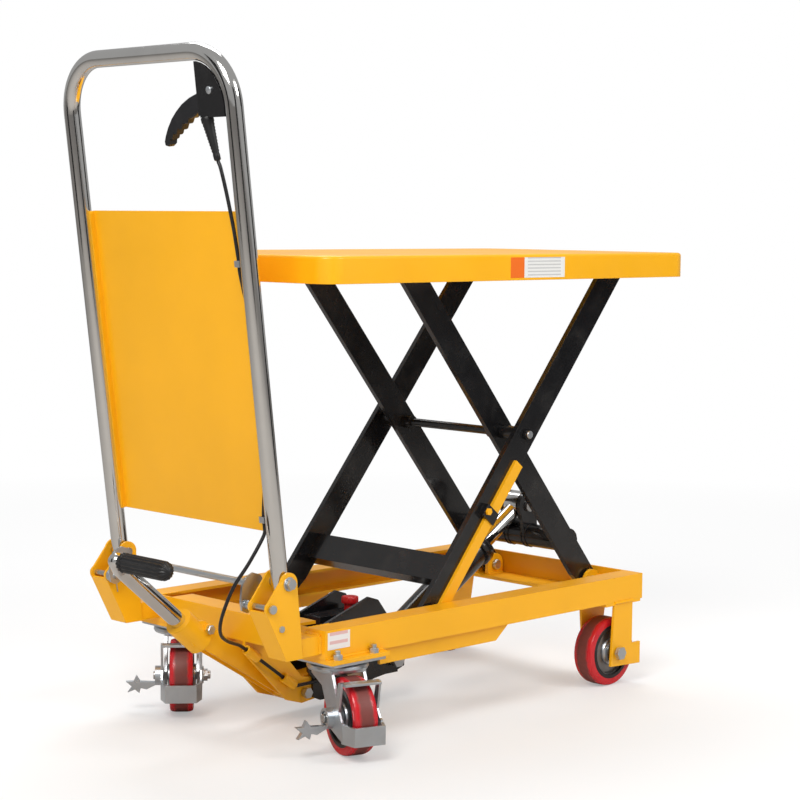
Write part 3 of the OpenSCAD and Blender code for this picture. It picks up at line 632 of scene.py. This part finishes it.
def build_scissor_detail():
    """Beads on the torque tube, the ends of the middle pivots and the lugs' pin heads."""
    lo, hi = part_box("torque_tube")
    centre = (lo + hi) / 2
    pivot = Vector(joints["scissor_cross"]["pos_m"])
    front = Vector(joints["lift"]["pos_m"])
    for s in (-1, 1):
        side = "left" if s > 0 else "right"
        for y in (13.4, 20.4, 93.4):
            ring_weld(f"weld_tube_{side}_{int(y)}", (centre.x, s * y * MM, centre.z), (0, 1, 0),
                      0.0172, "inner_frame", 1.1)
        lathe(f"pivot_end_{side}", PIVOT_END, (pivot.x, s * 0.1465, pivot.z), (0, s, 0),
              "zinc_plate", "inner_frame", 32)
        for y, out in ((82, -1), (116, 1)):
            lathe(f"lug_pin_head_{side}_{y}", PIN_HEAD, (front.x, s * y * MM, front.z),
                  (0, s * out, 0), "zinc_plate", "base")


def build_hydraulics():
    """Gland and seal of the cylinder, the vent knob and the pump's plugs."""
    swing = Vector(joints["cylinder_swing"]["pos_m"])
    along = Vector(joints["rod_slide"]["axis"])
    gland = swing + along * GLAND_S
    lathe("gland_ring", GLAND_RING, gland, along, "black_paint", "pump")
    lathe("wiper_seal", WIPER_SEAL, gland, along, "black_rubber", "pump")
    ring_weld("weld_barrel", swing + along * BARREL_WELD_S, along, 0.0226, "pump")
    lo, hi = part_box("release_knob")
    x, y = (lo.x + hi.x) / 2, (lo.y + hi.y) / 2
    knob = lathe("knob_grip", KNOB, (x, y, lo.z), (0, 0, 1), "red_plastic", "pump", 72,
                 flutes=12, flute_depth=0.9)
    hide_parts("release_knob")
    for i, (px, pz) in enumerate(((-6, 80), (-40, 80), (-40, 46))):
        for s in (-1, 1):
            lathe(f"port_plug_{i}_{'l' if s > 0 else 'r'}", PORT_PLUG,
                  (px * MM, s * 0.026, pz * MM), (0, s, 0), "steel_pin", "pump", 6)


def build_spring():
    """Torsion spring of the handle latch, on its pin by the left bracket."""
    pin = Vector(joints["latch_release"]["pos_m"])
    turns, steps = 4, 24
    first_y, pitch, radius = 0.1378, 0.0020, 0.0075
    path = []
    for i in range(turns * steps + 1):
        a = 2 * math.pi * i / steps
        path.append(Vector((pin.x + radius * math.cos(a), first_y + pitch * i / steps,
                            pin.z + radius * math.sin(a))))
    upper_leg = path[0] + Vector((0.002, 0, 0.022))
    lower_leg = path[-1] + Vector((0.004, 0.0, -0.024))
    path = [upper_leg] + path + [lower_leg]
    sweep("latch_spring", path, 0.9 * MM, "zinc_plate", "base", sides=8)


def build_bracket_detail():
    """Socket screw of the foot pedal, washers and spacer sleeves of the handle's brackets."""
    lathe("socket_bolt", SOCKET_BOLT, (-0.300, -0.019, 0.145), (0, -1, 0), "zinc_plate", "pedal", 6)
    fold = Vector(joints["handle_fold"]["pos_m"])
    pin = Vector(joints["latch_release"]["pos_m"])
    for s in (-1, 1):
        side = "left" if s > 0 else "right"
        lathe(f"bracket_washer_{side}", BRACKET_WASHER, (fold.x, s * 0.180, fold.z), (0, s, 0),
              "zinc_plate", "base")
        lathe(f"latch_sleeve_{side}", LATCH_SLEEVE, (pin.x, s * 0.1363, pin.z), (0, s, 0),
              "chrome", "base")


# ---- stage ----

CAMERA_PLACE = (-1.9483, -2.0311, 0.6763)
CAMERA_TURN = (45.3, 5.1, 0.5)      # heading, downward pitch and roll, in degrees
LOOK_AT = (0.05, 0.0, 0.35)         # what the area lights face


def build_camera():
    data = bpy.data.cameras.new("camera")
    data.lens, data.sensor_width = 91.41, 36.0
    data.clip_end = 50.0
    az, pitch, roll = (math.radians(a) for a in CAMERA_TURN)
    forward = Vector((math.cos(az) * math.cos(pitch), math.sin(az) * math.cos(pitch), -math.sin(pitch)))
    right = Vector((math.sin(az), -math.cos(az), 0.0))
    up = right.cross(forward)
    r = right * math.cos(roll) + up * math.sin(roll)
    u = up * math.cos(roll) - right * math.sin(roll)
    m = Matrix((r, u, -forward)).transposed().to_4x4()
    m.translation = CAMERA_PLACE
    camera = bpy.data.objects.new("camera", data)
    camera.matrix_world = m
    bpy.context.scene.collection.objects.link(camera)
    bpy.context.scene.camera = camera


def area_light(name, where, size, power, color):
    data = bpy.data.lights.new(name, "AREA")
    data.shape, data.size, data.energy, data.color = "SQUARE", size, power, color
    obj = bpy.data.objects.new(name, data)
    obj.location = where
    obj.rotation_euler = (Vector(LOOK_AT) - Vector(where)).to_track_quat("-Z", "Y").to_euler()
    bpy.context.scene.collection.objects.link(obj)


def dark_card(name, where, size):
    """Black card out of the picture; it only shows as dark streaks in the bright metal."""
    s = Shader(name)
    s.set(Base_Color=rgb(0.01, 0.01, 0.011), Roughness=0.9)
    half, height = size[0] / 2, size[1]
    verts = [(-half, 0, 0), (half, 0, 0), (half, 0, height), (-half, 0, height)]
    mesh = bpy.data.meshes.new(name)
    mesh.from_pydata(verts, [], [(0, 1, 2, 3)])
    mesh.materials.append(s.material)
    card = bpy.data.objects.new(name, mesh)
    card.location = where
    card.rotation_euler = (0, 0, math.atan2(where[1], where[0]) + math.pi / 2)
    card.visible_camera = False
    card.visible_diffuse = False
    card.visible_shadow = False
    bpy.context.scene.collection.objects.link(card)


def build_floor():
    """Pale disc that glows a little to the camera and is darker in glossy reflections."""
    s = Shader("pale_floor")
    path = s.node("ShaderNodeLightPath").outputs
    x, y = s.axis("X"), s.axis("Y")
    away = s.math("SQRT", s.math("ADD", s.math("MULTIPLY", x, x), s.math("MULTIPLY", y, y)))
    glow = s.math("MULTIPLY", s.remap(away, 0.5, 2.6, 0.35, 1.0), path["Is Camera Ray"])
    pale = s.mix(s.noise(2.0, 4.0), rgb(0.84, 0.84, 0.84), rgb(0.88, 0.88, 0.88))
    s.set(
        Base_Color=s.mix(path["Is Glossy Ray"], pale, rgb(0.42, 0.40, 0.38)), Roughness=0.6,
        Specular_IOR_Level=0.1, Normal=s.bump(s.noise(90.0, 4.0), 0.04, 0.3 * MM),
    )
    white = s.node("ShaderNodeEmission")
    blend = s.node("ShaderNodeMixShader")
    s.put(blend.inputs[0], glow)
    s.put(blend.inputs[1], s.bsdf.outputs[0])
    s.put(blend.inputs[2], white.outputs[0])
    s.put(s.tree.nodes["Material Output"].inputs["Surface"], blend.outputs[0])
    radius, steps = 14, 48
    rim = []
    for i in range(steps):
        a = 2 * math.pi * i / steps
        rim.append((radius * math.cos(a), radius * math.sin(a), 0.0))
    mesh = bpy.data.meshes.new("floor")
    mesh.from_pydata(rim, [], [tuple(range(steps))])
    mesh.materials.append(s.material)
    floor = bpy.data.objects.new("floor", mesh)
    bpy.context.scene.collection.objects.link(floor)


def build_world():
    """White to the camera, and a weaker fill light on the object."""
    world = bpy.data.worlds.new("studio")
    world.use_nodes = True
    tree = world.node_tree
    back = tree.nodes["Background"]
    ray = tree.nodes.new("ShaderNodeLightPath")
    level = tree.nodes.new("ShaderNodeMapRange")
    tree.links.new(ray.outputs["Is Camera Ray"], level.inputs["Value"])
    level.inputs["To Min"].default_value = 0.38
    level.inputs["To Max"].default_value = 1.0
    tree.links.new(level.outputs[0], back.inputs["Strength"])
    back.inputs["Color"].default_value = rgb(1.0, 1.0, 1.0)
    bpy.context.scene.world = world
    bpy.context.scene.view_settings.view_transform = "Standard"


def build_stage():
    build_floor()
    build_world()
    area_light("key", (-2.4, -1.3, 2.8), 1.5, 84.0, (1.0, 0.98, 0.95))
    area_light("side", (0.9, -2.6, 2.2), 1.1, 34.0, (1.0, 0.99, 0.97))
    area_light("top", (0.9, 1.2, 3.0), 1.8, 60.0, (0.97, 0.98, 1.0))
    dark_card("card_left", (-3.2, 1.0, 0.0), (1.2, 2.4))
    dark_card("card_front", (-1.5, -3.2, 0.0), (1.0, 2.4))
    dark_card("card_right", (2.6, -1.8, 0.0), (1.4, 2.4))


build_camera()
build_cable()
build_deck()
build_labels()
build_wheels()
build_casters()
build_trigger()
build_boot()
build_grip()
build_welds()
build_scissor_detail()
build_hydraulics()
build_spring()
build_bracket_detail()
build_stage()
